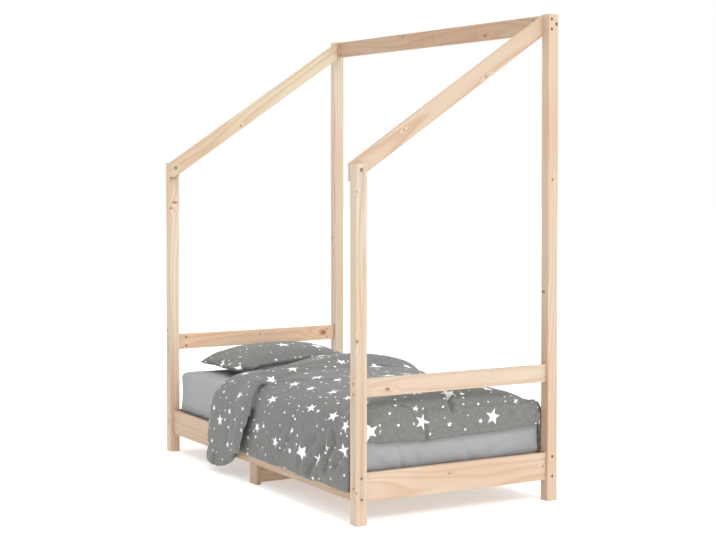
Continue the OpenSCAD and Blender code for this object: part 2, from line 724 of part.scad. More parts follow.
// The free edge of the folded stretch bows towards the foot end at the near shoulder
function bow(x, y, z) = 60 * exp(
    -pow((x - fold_x) / 120, 2) - pow((z - near_z) / 90, 2) - pow((y + hang_y) / 150, 2)
);
function quilt_ring(x) = [
    for (p = concat(outer_path(x), reverse(inner_path(x)))) [x + bow(x, p[0], p[1]), p[0], p[1]]
];
module quilt() {
    head = [for (a = [18:18:90]) quilt_x0 + head_round * (1 - cos(a))];
    fold = [for (t = [1:4]) mix(quilt_x0 + head_round, fold_x - 30, t / 4)];
    crease = [for (d = [-10, -2, 6, 14, 34]) fold_x + d];
    main = [for (t = [1:7]) mix(fold_x + 34, quilt_mx - 70, t / 7)];
    foot = [quilt_mx - 35, quilt_mx - 12, quilt_mx, quilt_mx + 0.4];
    tip = [for (t = [0.45, 0.8, 1]) mix(quilt_mx, quilt_x1, t)];
    color("gray") skin([for (x = concat(head, fold, crease, main, foot, tip)) quilt_ring(x)], true);
}

post_head_front();
post_foot_front();
post_head_rear();
post_foot_rear();
side_rail_front();
side_rail_rear();
lower_rail_head();
lower_rail_foot();
upper_rail_head();
upper_rail_foot();
rafter_head();
rafter_foot();
ridge_beam();
ledger_front();
ledger_rear();
cross_board();
leg_front();
leg_rear();
slat(1);  // slat_01
slat(2);  // slat_02
slat(3);  // slat_03
slat(4);  // slat_04
slat(5);  // slat_05
slat(6);  // slat_06
slat(7);  // slat_07
slat(8);  // slat_08
slat(9);  // slat_09
slat(10);  // slat_10
slat(11);  // slat_11
slat(12);  // slat_12
slat(13);  // slat_13
slat(14);  // slat_14
slat(15);  // slat_15
side_rail_bolts();
side_rail_nuts();
lower_rail_bolts();
lower_rail_nuts();
upper_rail_bolts();
upper_rail_nuts();
ridge_bolts();
ridge_nuts();
eaves_bolts();
eaves_sleeves();
crest_bolts();
crest_sleeves();
dowels();
ledger_screws();
slat_screws();
leg_screws();
mattress();
pillow();
quilt();
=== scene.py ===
import math
import random

import bmesh
import bpy
import numpy as np
from mathutils import Matrix, Vector, noise
from mathutils.bvhtree import BVHTree
from mathutils.kdtree import KDTree


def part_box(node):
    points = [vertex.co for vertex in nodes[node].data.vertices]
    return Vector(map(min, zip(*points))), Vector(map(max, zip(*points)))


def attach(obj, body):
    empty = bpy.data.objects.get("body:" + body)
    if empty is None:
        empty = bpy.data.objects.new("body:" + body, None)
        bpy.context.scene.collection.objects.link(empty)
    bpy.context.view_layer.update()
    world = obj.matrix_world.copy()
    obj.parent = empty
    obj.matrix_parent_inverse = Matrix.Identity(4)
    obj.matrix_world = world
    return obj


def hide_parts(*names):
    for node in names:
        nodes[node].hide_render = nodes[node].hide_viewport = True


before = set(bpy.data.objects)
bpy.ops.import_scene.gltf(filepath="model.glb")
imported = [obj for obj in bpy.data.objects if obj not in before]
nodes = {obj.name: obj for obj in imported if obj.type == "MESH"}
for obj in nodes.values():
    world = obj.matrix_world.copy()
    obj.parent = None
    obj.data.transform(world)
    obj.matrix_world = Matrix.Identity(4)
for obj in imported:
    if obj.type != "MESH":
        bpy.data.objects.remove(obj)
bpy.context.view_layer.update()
scene = bpy.context.scene
print("frame:", len(nodes), "pieces of the bed")


# Camera, at the photograph's viewing angle
camera = {
    "place": (5.6539, -3.2018, 1.3007),
    "turn": 60.048,  # degrees round the bed
    "dip": 1.466,  # degrees below level
    "lens": 78.80,
    "shift": -0.0965,
}
cameraData = bpy.data.cameras.new("camera")
cameraData.lens = camera["lens"]
cameraData.sensor_width = 36
cameraData.shift_y = camera["shift"]
cameraData.clip_end = 60
cameraObject = bpy.data.objects.new("camera", cameraData)
cameraObject.location = camera["place"]
cameraObject.rotation_euler = (math.radians(90 - camera["dip"]), 0, math.radians(camera["turn"]))
scene.collection.objects.link(cameraObject)
scene.camera = cameraObject


# Colours are sRGB hex
def linear(colour):
    parts = [int(colour[i:i + 2], 16) / 255 for i in (0, 2, 4)]
    return [p / 12.92 if p <= 0.04045 else ((p + 0.055) / 1.055) ** 2.4 for p in parts] + [1]


def newMaterial(name):
    material = bpy.data.materials.new(name)
    material.use_nodes = True
    material.node_tree.nodes.clear()
    return material, material.node_tree


def dress(piece, material):
    piece.data.materials.clear()
    piece.data.materials.append(material)


# Adds one node; inputs are sockets to link, or plain values
def addNode(tree, kind, inputs=None, **settings):
    node = tree.nodes.new("ShaderNode" + kind)
    for name, value in settings.items():
        setattr(node, name, value)
    for key, value in (inputs or {}).items():
        if isinstance(value, bpy.types.NodeSocket):
            tree.links.new(value, node.inputs[key])
        else:
            node.inputs[key].default_value = value
    return node


# Pine: sanded boards under clear matt lacquer, so soft gloss and warm grain with low contrast
pine = {
    "early": "cebaa3",  # spring wood between the rings
    "late": "bb9678",  # summer wood, the darker line of each ring
    "pink": "c8aa91",  # heartwood patches
    "knot": "9a6238",
    "knotRim": "6f4427",
    "ringWidth": 0.012,  # real rings are 3 to 4 mm apart, drawn three times as wide to show
    "ringWave": 0.085,  # how far slow waves along the board shift the rings
    "fibre": 0.0016,
    "finger": 0.0045,  # half the pitch of the glued fingers
    "fingerSlope": 2.4,
    "roughness": 0.46,
    "specular": 0.38,
}


def makePine(name, grain, across, middle, seed, knots, joints, tone):
    material, tree = newMaterial(name)
    chance = random.Random(seed)
    thick = Vector(grain).cross(Vector(across))
    turn = Matrix((grain, across, thick))
    where = addNode(tree, "TexCoord").outputs["Object"]
    centred = addNode(tree, "VectorMath", {0: where, 1: middle}, operation="SUBTRACT").outputs[0]
    board = addNode(tree, "Mapping", {"Vector": centred, "Rotation": turn.to_euler()}).outputs[0]

    # rings round a pith that lies outside most boards, bent by slow waves along the length
    pith = (0, chance.uniform(-0.05, 0.05), -chance.uniform(0.035, 0.11))
    waveAt = addNode(tree, "VectorMath", {0: board, 1: (1.1, 7, 7)}, operation="MULTIPLY").outputs[0]
    wave = addNode(tree, "TexNoise", {"Vector": waveAt, "Scale": 1.0, "Detail": 2.0, "Roughness": 0.45,
                                      "W": chance.uniform(0, 50)}, noise_dimensions="4D").outputs[0]
    fromPith = addNode(tree, "VectorMath", {0: board, 1: pith}, operation="SUBTRACT").outputs[0]
    flat = addNode(tree, "VectorMath", {0: fromPith, 1: (0, 1, 1)}, operation="MULTIPLY").outputs[0]
    reach = addNode(tree, "VectorMath", {0: flat}, operation="LENGTH").outputs["Value"]
    ring = addNode(tree, "Math", {0: wave, 1: pine["ringWave"], 2: reach},
                   operation="MULTIPLY_ADD").outputs[0]

    # knots push the rings aside and show as brown ovals with a dark rim
    knotMask, rimMask = None, None
    for along, side, deep, size in knots:
        away = addNode(tree, "VectorMath", {0: board, 1: (along, side, deep)},
                       operation="SUBTRACT").outputs[0]
        oval = addNode(tree, "VectorMath", {0: away, 1: (0.72, 1, 0.35)}, operation="MULTIPLY").outputs[0]
        long = addNode(tree, "VectorMath", {0: away, 1: (0.3, 1, 0.3)}, operation="MULTIPLY").outputs[0]
        near = addNode(tree, "VectorMath", {0: oval}, operation="LENGTH").outputs["Value"]
        spread = addNode(tree, "VectorMath", {0: long}, operation="LENGTH").outputs["Value"]
        push = addNode(tree, "MapRange", {"Value": spread, "From Min": 0, "From Max": size * 3.2,
                                          "To Min": size * 1.6, "To Max": 0},
                       interpolation_type="SMOOTHERSTEP").outputs[0]
        ring = addNode(tree, "Math", {0: ring, 1: push}, operation="ADD").outputs[0]
        core = addNode(tree, "MapRange", {"Value": near, "From Min": size * 0.35, "From Max": size * 0.6,
                                          "To Min": 1, "To Max": 0}).outputs[0]
        rim = addNode(tree, "MapRange", {"Value": near, "From Min": size * 0.55, "From Max": size * 1.25,
                                         "To Min": 0.55, "To Max": 0}).outputs[0]
        if knotMask is None:
            knotMask, rimMask = core, rim
        else:
            knotMask = addNode(tree, "Math", {0: knotMask, 1: core}, operation="MAXIMUM").outputs[0]
            rimMask = addNode(tree, "Math", {0: rimMask, 1: rim}, operation="MAXIMUM").outputs[0]

    turns = addNode(tree, "Math", {0: ring, 1: 1 / pine["ringWidth"]}, operation="MULTIPLY").outputs[0]
    phase = addNode(tree, "Math", {0: turns}, operation="FRACT").outputs[0]
    rise = addNode(tree, "MapRange", {"Value": phase, "From Min": 0.25, "From Max": 0.86},
                   interpolation_type="SMOOTHSTEP").outputs[0]
    fall = addNode(tree, "MapRange", {"Value": phase, "From Min": 0.86, "From Max": 1.0, "To Min": 1,
                                      "To Max": 0}).outputs[0]
    late = addNode(tree, "Math", {0: rise, 1: fall}, operation="MULTIPLY").outputs[0]

    # fine fibres run along the board
    fibreAt = addNode(tree, "VectorMath", {0: board, 1: (6, 1 / pine["fibre"], 1 / pine["fibre"])},
                      operation="MULTIPLY").outputs[0]
    fibre = addNode(tree, "TexNoise", {"Vector": fibreAt, "Scale": 0.35, "Detail": 3.0,
                                       "Roughness": 0.6}).outputs[0]
    patchAt = addNode(tree, "VectorMath", {0: board, 1: (1.6, 9, 9)}, operation="MULTIPLY").outputs[0]
    patch = addNode(tree, "TexNoise", {"Vector": patchAt, "Scale": 1.0, "Detail": 1.0,
                                       "W": chance.uniform(0, 50)}, noise_dimensions="4D").outputs[0]
    patchMix = addNode(tree, "MapRange", {"Value": patch, "From Min": 0.42, "From Max": 0.68,
                                          "To Max": 0.75}, interpolation_type="SMOOTHSTEP").outputs[0]
    ground = addNode(tree, "Mix", {0: patchMix, 6: linear(pine["early"]), 7: linear(pine["pink"])},
                     data_type="RGBA").outputs[2]
    lateShare = addNode(tree, "Math", {0: late, 1: chance.uniform(0.42, 0.6)},
                        operation="MULTIPLY").outputs[0]
    ringed = addNode(tree, "Mix", {0: lateShare, 6: ground, 7: linear(pine["late"])},
                     data_type="RGBA").outputs[2]
    fibreTone = addNode(tree, "MapRange", {"Value": fibre, "From Min": 0.25, "From Max": 0.75,
                                           "To Min": 0.96, "To Max": 1.04}).outputs[0]
    colour = addNode(tree, "VectorMath", {0: ringed, "Scale": fibreTone}, operation="SCALE").outputs[0]
    # the board's tint: partly its own colour, partly painted light and shade
    colour = addNode(tree, "VectorMath", {0: colour, 1: tone}, operation="MULTIPLY").outputs[0]
    if knotMask is not None:
        knotted = addNode(tree, "Mix", {0: rimMask, 6: colour, 7: linear(pine["knotRim"])},
                          data_type="RGBA").outputs[2]
        colour = addNode(tree, "Mix", {0: knotMask, 6: knotted, 7: linear(pine["knot"])},
                         data_type="RGBA").outputs[2]

    # finger joints, where short lengths are glued end to end
    for along in joints:
        parts = addNode(tree, "SeparateXYZ", {0: board}).outputs
        saw = addNode(tree, "Math", {0: parts[1], 1: pine["finger"]}, operation="PINGPONG").outputs[0]
        edge = addNode(tree, "Math", {0: saw, 1: pine["fingerSlope"], 2: parts[0]},
                       operation="MULTIPLY_ADD").outputs[0]
        gap = addNode(tree, "Math", {0: edge, 1: along + 0.005}, operation="SUBTRACT").outputs[0]
        gap = addNode(tree, "Math", {0: gap}, operation="ABSOLUTE").outputs[0]
        line = addNode(tree, "MapRange", {"Value": gap, "From Min": 0.0012, "From Max": 0.0044,
                                          "To Min": 0.8, "To Max": 0}).outputs[0]
        tips = addNode(tree, "MapRange", {"Value": saw, "From Min": 0.0024, "From Max": 0.004,
                                          "To Min": 0.15, "To Max": 1}).outputs[0]
        line = addNode(tree, "Math", {0: line, 1: tips}, operation="MULTIPLY").outputs[0]
        colour = addNode(tree, "Mix", {0: line, 6: colour, 7: linear(pine["knot"])},
                         data_type="RGBA").outputs[2]

    relief = addNode(tree, "Math", {0: late, 1: 0.6, 2: fibre}, operation="MULTIPLY_ADD").outputs[0]
    bump = addNode(tree, "Bump", {"Height": relief, "Strength": 0.22, "Distance": 0.0006}).outputs[0]
    sheen = addNode(tree, "MapRange", {"Value": fibre, "From Min": 0.2, "From Max": 0.8,
                                       "To Min": pine["roughness"] - 0.05,
                                       "To Max": pine["roughness"] + 0.08}).outputs[0]
    shader = addNode(tree, "BsdfPrincipled", {"Base Color": colour, "Roughness": sheen, "Normal": bump,
                                              "Specular IOR Level": pine["specular"], "IOR": 1.5})
    addNode(tree, "OutputMaterial", {"Surface": shader.outputs[0]})
    return material


# Boards: which way the grain runs and what lies across it, and the knots that show in the photograph
roofSlope = 0.664  # rise of the rafters for each metre across the bed
slopeAngle = math.atan(roofSlope)
alongX, alongY, alongZ = (1, 0, 0), (0, 1, 0), (0, 0, 1)
alongRoof = (0, math.cos(slopeAngle), math.sin(slopeAngle))
acrossRoof = (0, -math.sin(slopeAngle), math.cos(slopeAngle))
boards = {
    "post_head_front": (alongZ, alongX), "post_foot_front": (alongZ, alongY),
    "post_head_rear": (alongZ, alongX), "post_foot_rear": (alongZ, alongY),
    "side_rail_front": (alongX, alongZ), "side_rail_rear": (alongX, alongZ),
    "lower_rail_head": (alongY, alongZ), "lower_rail_foot": (alongY, alongZ),
    "upper_rail_head": (alongY, alongZ), "upper_rail_foot": (alongY, alongZ),
    "rafter_head": (alongRoof, acrossRoof), "rafter_foot": (alongRoof, acrossRoof),
    "ridge_beam": (alongX, alongZ),
    "ledger_front": (alongX, alongZ), "ledger_rear": (alongX, alongZ),
    "cross_board": (alongY, alongZ), "leg_front": (alongZ, alongY), "leg_rear": (alongZ, alongY),
}
slats = [f"slat_{i + 1:02d}" for i in range(15)]
for name in slats:
    boards[name] = (alongY, alongX)
knotsSeen = {  # where a knot shows, in metres, and its size
    "post_foot_front": [((0.855, -0.439, 0.660), 0.006), ((0.855, -0.441, 1.191), 0.003),
                        ((0.855, -0.441, 0.120), 0.0035)],
    "post_foot_rear": [((0.855, 0.419, 1.229), 0.0055), ((0.824, 0.399, 0.800), 0.005)],
    "post_head_front": [((-0.810, -0.420, 1.115), 0.005), ((-0.811, -0.444, 1.090), 0.0045),
                        ((-0.842, -0.444, 0.541), 0.006)],
    "post_head_rear": [((-0.840, 0.399, 0.936), 0.0065), ((-0.827, 0.399, 0.884), 0.004)],
    "upper_rail_foot": [((0.8415, -0.306, 0.480), 0.0075), ((0.8415, 0.148, 0.517), 0.003)],
    "lower_rail_foot": [((0.8415, -0.039, 0.148), 0.004), ((0.8415, 0.386, 0.136), 0.004)],
    "upper_rail_head": [((-0.8235, 0.007, 0.503), 0.004), ((-0.8235, 0.340, 0.491), 0.015)],
    "ridge_beam": [((-0.213, 0.404, 1.846), 0.006), ((0.422, 0.404, 1.805), 0.0075),
                   ((-0.639, 0.404, 1.805), 0.004)],
    "rafter_foot": [((0.815, 0.138, 1.615), 0.005), ((0.815, -0.221, 1.412), 0.0035)],
    "rafter_head": [((-0.797, -0.099, 1.459), 0.005)],
}
jointsSeen = {"ridge_beam": (-0.036, 0.033, 0.368)}  # along the board, from its middle
tintsAndPaintedLight = {  # each board's tint, where it differs from the pine's colours: partly the board's own colour, partly painted light and shade, darker and warmer on boards seen on their shaded side or under the bed, paler and cooler on lit boards
    "upper_rail_head": (1.23, 1.13, 1.06),
    "post_head_rear": (1.03, 1.10, 1.16),
    "ridge_beam": (0.80, 0.71, 0.66),
    "post_head_front": (1.04, 1.08, 1.10),
    "post_foot_front": (1.01, 1.09, 1.14),
    "post_foot_rear": (0.97, 0.95, 0.94),
    "rafter_head": (0.98, 1.04, 1.02),
    "rafter_foot": (0.91, 0.89, 0.88),
    "side_rail_front": (0.87, 0.81, 0.77),
    "upper_rail_foot": (1.0, 1.08, 1.15),
    "leg_front": (0.79, 0.78, 0.75),
}
for count, (name, (grain, across)) in enumerate(boards.items()):
    low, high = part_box(name)
    middle = (low + high) / 2
    axes = [Vector(grain), Vector(across), Vector(grain).cross(Vector(across))]
    half = [abs((high - low).dot(Vector([abs(v) for v in axis]))) / 2 for axis in axes]
    chance = random.Random(300 + count)
    knots = [[(Vector(place) - middle).dot(axis) for axis in axes] + [size]
             for place, size in knotsSeen.get(name, ())]
    if not knots:  # small knots at random, about one for each 0.8 m
        for _ in range(int(half[0] / 0.4) + 1):
            knots.append((chance.uniform(-0.9, 0.9) * half[0], chance.uniform(-0.6, 0.6) * half[1],
                          half[2] * chance.choice((-1, 1)), chance.uniform(0.0025, 0.0055)))
    material = makePine("lacqueredPine_" + name, grain, across, middle, 700 + count, knots,
                        jointsSeen.get(name, ()), tintsAndPaintedLight.get(name, (1, 1, 1)))
    dress(nodes[name], material)
print("pine boards:", len(boards))


# Beech dowels, turned: close, even grain with short flecks, and no gloss
beech = {
    "wood": "d6ae82",
    "fleck": "b98a5e",
    "fleckScale": 400.0,  # flecks 2.5 mm long
    "roughness": 0.6,
}


def makeBeech():
    material, tree = newMaterial("turnedBeech")
    where = addNode(tree, "TexCoord").outputs["Object"]
    fleck = addNode(tree, "TexNoise", {"Vector": where, "Scale": beech["fleckScale"],
                                       "Detail": 2.0}).outputs[0]
    colour = addNode(tree, "Mix", {0: fleck, 6: linear(beech["wood"]), 7: linear(beech["fleck"])},
                     data_type="RGBA").outputs[2]
    shader = addNode(tree, "BsdfPrincipled", {"Base Color": colour, "Roughness": beech["roughness"]})
    addNode(tree, "OutputMaterial", {"Surface": shader.outputs[0]})
    return material


# Steel fittings, zinc plated: bright, but a little dull and cloudy, both greys tinted warm as a painted
# reflection of the pine round them
zincPlate = {
    "bright": "a29f9a",
    "dull": "85817c",
    "cloudScale": 260.0,  # clouds about 4 mm across
    "smoothest": 0.28,
    "roughest": 0.46,
}


def makeZinc():
    material, tree = newMaterial("zincPlatedSteel")
    where = addNode(tree, "TexCoord").outputs["Object"]
    cloud = addNode(tree, "TexNoise", {"Vector": where, "Scale": zincPlate["cloudScale"],
                                       "Detail": 3.0}).outputs[0]
    rough = addNode(tree, "MapRange", {"Value": cloud, "From Min": 0.3, "From Max": 0.7,
                                       "To Min": zincPlate["smoothest"],
                                       "To Max": zincPlate["roughest"]}).outputs[0]
    # the zinc's own grey with a warm tint: painted reflection of the wood
    colour = addNode(tree, "Mix", {0: cloud, 6: linear(zincPlate["bright"]), 7: linear(zincPlate["dull"])},
                     data_type="RGBA").outputs[2]
    shader = addNode(tree, "BsdfPrincipled", {"Base Color": colour, "Roughness": rough, "Metallic": 1.0})
    addNode(tree, "OutputMaterial", {"Surface": shader.outputs[0]})
    return material


zincPlated = makeZinc()
for name, piece in nodes.items():
    if name.endswith(("_bolts", "_nuts", "_sleeves", "_screws")):
        dress(piece, zincPlated)
dress(nodes["dowels"], makeBeech())
print("fittings: zinc and beech")


# Pieces with a mesh of their own. Helpers first: smooth steps, skins of rings, remeshing, cloth
def ease(t):
    t = np.clip(t, 0, 1)
    return t * t * (3 - 2 * t)


# Both rise from 0 at the edge to 1 at r from it: quarter as a quarter circle, bulge more gently
def quarter(d, r):
    return np.sqrt(np.clip(1 - (1 - np.clip(d / r, 0, 1)) ** 2, 0, 1))


def bulge(d, r):
    return 1 - (1 - np.clip(d / r, 0, 1)) ** 2


# The same line with its points evenly spaced
def resample(points, count):
    points = np.asarray(points, float)
    steps = np.r_[0, np.cumsum(np.linalg.norm(np.diff(points, axis=0), axis=1))]
    at = np.linspace(0, steps[-1], count)
    return np.stack([np.interp(at, steps, points[:, k]) for k in range(points.shape[1])], 1)


# A closed skin over rings of points in millimetres
def skinOf(rings, build):
    count = len(rings[0])
    base = [[build.verts.new(p / 1000) for p in ring] for ring in rings]
    for a, b in zip(base, base[1:]):
        for i in range(count):
            j = (i + 1) % count
            build.faces.new((a[i], a[j], b[j], b[i]))
    build.faces.new(base[0][::-1])
    build.faces.new(base[-1])


def coordinates(obj):
    flat = np.zeros(len(obj.data.vertices) * 3)
    obj.data.vertices.foreach_get("co", flat)
    return flat.reshape(-1, 3)


def setCoordinates(obj, points):
    obj.data.vertices.foreach_set("co", np.ascontiguousarray(points, dtype=np.float32).ravel())
    obj.data.update()


def applyModifiers(obj):
    bpy.context.view_layer.update()
    graph = bpy.context.evaluated_depsgraph_get()
    made = bpy.data.meshes.new_from_object(obj.evaluated_get(graph))
    old = obj.data
    obj.modifiers.clear()
    obj.data = made
    made.name = obj.name
    bpy.data.meshes.remove(old)


# One even skin in place of what overlaps, a little smoothed
def remesh(obj, voxel, smooth):
    modifier = obj.modifiers.new("voxels", "REMESH")
    modifier.mode = "VOXEL"
    modifier.voxel_size = voxel
    soften = obj.modifiers.new("soften", "SMOOTH")
    soften.factor = 0.5
    soften.iterations = smooth
    applyModifiers(obj)


def shadeSmooth(obj):
    obj.data.polygons.foreach_set("use_smooth", [True] * len(obj.data.polygons))


def subdivide(obj):
    modifier = obj.modifiers.new("finer", "SUBSURF")
    modifier.levels = 1
    modifier.render_levels = 1
    applyModifiers(obj)
    shadeSmooth(obj)


# A node's mesh, its split corners joined, to build on
def jointCopy(node):
    build = bmesh.new()
    build.from_mesh(nodes[node].data)
    bmesh.ops.remove_doubles(build, verts=build.verts, dist=0.00002)
    return build


def meshPiece(name, build):
    bmesh.ops.recalc_face_normals(build, faces=build.faces)
    data = bpy.data.meshes.new(name)
    build.to_mesh(data)
    build.free()
    obj = bpy.data.objects.new(name, data)
    scene.collection.objects.link(obj)
    return obj


def normalsOf(obj):
    flat = np.zeros(len(obj.data.vertices) * 3)
    obj.data.vertices.foreach_get("normal", flat)
    return flat.reshape(-1, 3)


# Blows a filled cover up with a cloth simulation, run on a coarser copy that the fine cover then follows.
# It is held where it rests on other pieces
simulation = {
    "frames": 20,
    "quality": 4,
    "held": 0.008,  # cloth this near to what it rests on stays where it is
    "freed": 0.012,  # it gets free over this much more
}


def swell(obj, form, rests):
    coarse = obj.copy()
    coarse.data = obj.data.copy()
    scene.collection.objects.link(coarse)
    remesh(coarse, form["coarse"], 2)
    start = coordinates(coarse)
    build = bmesh.new()
    for node in rests:
        build.from_mesh(nodes[node].data)
    under = BVHTree.FromBMesh(build)
    build.free()
    apart = np.array([under.find_nearest(Vector(p))[3] for p in start])
    hold = 1 - ease((apart - simulation["held"]) / simulation["freed"])
    group = coarse.vertex_groups.new(name="held")
    for weight in (0.25, 0.5, 0.75, 1.0):
        chosen = np.nonzero(np.abs(hold - weight) <= 0.125)[0].tolist()
        group.add(chosen, weight, "REPLACE")
    cloth = coarse.modifiers.new("cloth", "CLOTH")
    cloth.settings.vertex_group_mass = "held"
    cloth.settings.use_pressure = True
    cloth.settings.uniform_pressure_force = form["pressure"]
    cloth.settings.effector_weights.gravity = 0
    cloth.settings.shrink_min = -form["grow"]
    cloth.settings.quality = simulation["quality"]
    cloth.point_cache.frame_end = simulation["frames"]
    for step in range(1, simulation["frames"] + 1):
        scene.frame_set(step)
    done = coarse.evaluated_get(bpy.context.evaluated_depsgraph_get()).to_mesh()
    flat = np.zeros(len(done.vertices) * 3)
    done.vertices.foreach_get("co", flat)
    move = flat.reshape(-1, 3) - start
    far = np.linalg.norm(move, axis=1, keepdims=True)
    move *= form["cap"] * np.tanh(far / form["cap"]) / np.maximum(far, 1e-9)
    tree = KDTree(len(start))
    for i, p in enumerate(start):
        tree.insert(p, i)
    tree.balance()
    points = coordinates(obj)
    follow = np.zeros_like(points)
    for i, p in enumerate(points):
        near = tree.find_n(p, 4)
        weights = [1 / (n[2] + 0.001) for n in near]
        follow[i] = sum(w * move[n[1]] for w, n in zip(weights, near)) / sum(weights)
    bpy.data.objects.remove(coarse)
    scene.frame_set(1)
    setCoordinates(obj, points + follow)
    furthest = float(np.linalg.norm(follow, axis=1).max()) * 1000
    print("simulated:", obj.name, "moved up to", round(furthest, 1), "mm")


# Small uneven wrinkles all over; depth in metres, stretch lengthens them along one axis
def addWrinkles(obj, size, depth, stretch=(1, 1, 1)):
    points = coordinates(obj)
    height = np.array([noise.fractal(Vector(p / size / np.array(stretch)), 0.9, 2.1, 3) for p in points])
    setCoordinates(obj, points + normalsOf(obj) * (height * depth)[:, None])


# Cloth is cut flat and then laid, so the print follows the length of the cloth, kept as a point attribute
def markPrint(obj, across, along):
    flat = np.stack([across, along, 0 * across], 1).astype(np.float32)
    obj.data.attributes.new("print", "FLOAT_VECTOR", "POINT").data.foreach_set("vector", flat.ravel())


# Presses valleys into a cloth, with a low ridge along each side. A line is its depth and width, then its
# points, in millimetres
def press(obj, lines):
    points = coordinates(obj) * 1000
    move = np.zeros(len(points))
    for depth, width, *line in lines:
        line = np.array(line, float)
        near = np.full(len(points), 1e9)
        for a, b in zip(line, line[1:]):
            along = np.clip((points - a) @ (b - a) / ((b - a) @ (b - a)), 0, 1)
            near = np.minimum(near, np.linalg.norm(points - a - along[:, None] * (b - a), axis=1))
        move -= depth * (np.exp(-(near / width) ** 2) - 0.4 * np.exp(-((near - 2 * width) / width) ** 2))
    setCoordinates(obj, (points + normalsOf(obj) * move[:, None]) / 1000)


# Short posts: sawn off level, so that the rafters' faces show above them
shortPosts = {
    "pieces": {"postHeadFront": "post_head_front", "postFootFront": "post_foot_front"},
    "height": 1.290,
    "sharp": 35,  # edges that turn more degrees than this stay sharp
}
for name, node in shortPosts["pieces"].items():
    build = jointCopy(node)
    cut = bmesh.ops.bisect_plane(build, geom=build.verts[:] + build.edges[:] + build.faces[:],
                                 plane_co=(0, 0, shortPosts["height"]), plane_no=(0, 0, 1),
                                 clear_outer=True)["geom_cut"]
    rim = [part for part in cut if isinstance(part, bmesh.types.BMEdge)]
    bmesh.ops.edgeloop_fill(build, edges=rim)
    post = meshPiece(name, build)
    shadeSmooth(post)
    post.data.set_sharp_from_angle(angle=math.radians(shortPosts["sharp"]))
    dress(post, nodes[node].data.materials[0])
    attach(post, "root")
    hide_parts(node)
print("short posts: level tops")


# Mattress: foam block in a plain knitted cover. Metres, but millimetres for the creases
mattressForm = {
    "voxel": 0.007,
    "coarse": 0.02,  # voxel of the copy that is simulated
    "pressure": 3,
    "cap": 0.003,  # the furthest that the simulation moves a point
    "grow": 0.01,  # the cover is cut this share too large, so it wrinkles
    "wrinkles": (0.12, 0.0012, (1, 1, 2.5)),
    "creases": (  # down the foot end
        (4.84, 9, (796, -237, 262), (797, -216, 182)),
        (3.3, 10, (797, -175, 240), (799, -150, 187)),
        (3.52, 14, (796, 40, 262), (798, 84, 183)),
        (3.08, 16, (799, 160, 200), (797, 240, 232)),
        (2.64, 18, (797, -380, 250), (799, -300, 200)),
        (2.64, 20, (797, 280, 262), (799, 330, 190)),
    ),
    "fill": 0.95,
}
mattress = meshPiece("mattressBlock", jointCopy("mattress"))
remesh(mattress, mattressForm["voxel"], 2)
swell(mattress, mattressForm, slats + ["quilt"])
shadeSmooth(mattress)
addWrinkles(mattress, *mattressForm["wrinkles"])
press(mattress, mattressForm["creases"])
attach(mattress, "root")
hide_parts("mattress")
print("mattress:", len(mattress.data.vertices), "points")


# Pillow: loosely filled, pointed corners. Metres, but millimetres for the creases
pillowForm = {
    "voxel": 0.006,
    "coarse": 0.009,
    "pressure": 4,
    "cap": 0.007,
    "grow": 0.015,
    "printAt": (-0.352, 0.352),  # where on the printed cloth the cover was cut
    "level": 0.44,  # the cloth falls from this height to its edges
    "fallShare": 0.8,  # of the fall, the print follows this much
    "corner": (-0.775, -0.31),
    "droop": 0.009,  # how far that corner sinks, over the reach
    "reach": 0.05,
    "wrinkles": (0.09, 0.0014),
    "creases": (  # the first lies beside the quilt, the others along the seams
        (11, 10, (-420, -214, 388), (-416, -181, 400), (-416, -137, 405), (-418, -94, 409),
         (-420, -52, 411), (-424, 30, 418), (-428, 69, 425)),
        (5.25, 9, (-455, -300, 398), (-409, -262, 402)),
        (4.5, 10, (-525, -300, 425), (-455, -262, 425)),
        (6, 10, (-735, -306, 414), (-700, -262, 428)),
        (5, 9, (-613, -300, 416), (-538, -302, 414)),
        (3, 14, (-700, -295, 420), (-600, -230, 440)),
        (3, 12, (-430, 250, 410), (-480, 190, 430)),
    ),
    "fill": 0.6,
}
pillow = meshPiece("pillowCushion", jointCopy("pillow"))
remesh(pillow, pillowForm["voxel"], 3)
low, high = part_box("pillow")
x, y, z = coordinates(pillow).T
outX = (x - (low[0] + high[0]) / 2) / ((high[0] - low[0]) / 2)
outY = (y - (low[1] + high[1]) / 2) / ((high[1] - low[1]) / 2)
fall = pillowForm["fallShare"] * (pillowForm["level"] - z)
printX, printY = pillowForm["printAt"]
markPrint(pillow, x + printX + fall * outX, y + printY + fall * outY)
cornerX, cornerY = pillowForm["corner"]
away = (x - cornerX) ** 2 + (y - cornerY) ** 2
tip = pillowForm["droop"] * np.exp(-away / pillowForm["reach"] ** 2)
setCoordinates(pillow, np.stack([x, y, z - tip], 1))
swell(pillow, pillowForm, ("mattress", "quilt"))
subdivide(pillow)
addWrinkles(pillow, *pillowForm["wrinkles"])
press(pillow, pillowForm["creases"])
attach(pillow, "root")
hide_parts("pillow")
print("pillow:", len(pillow.data.vertices), "points")


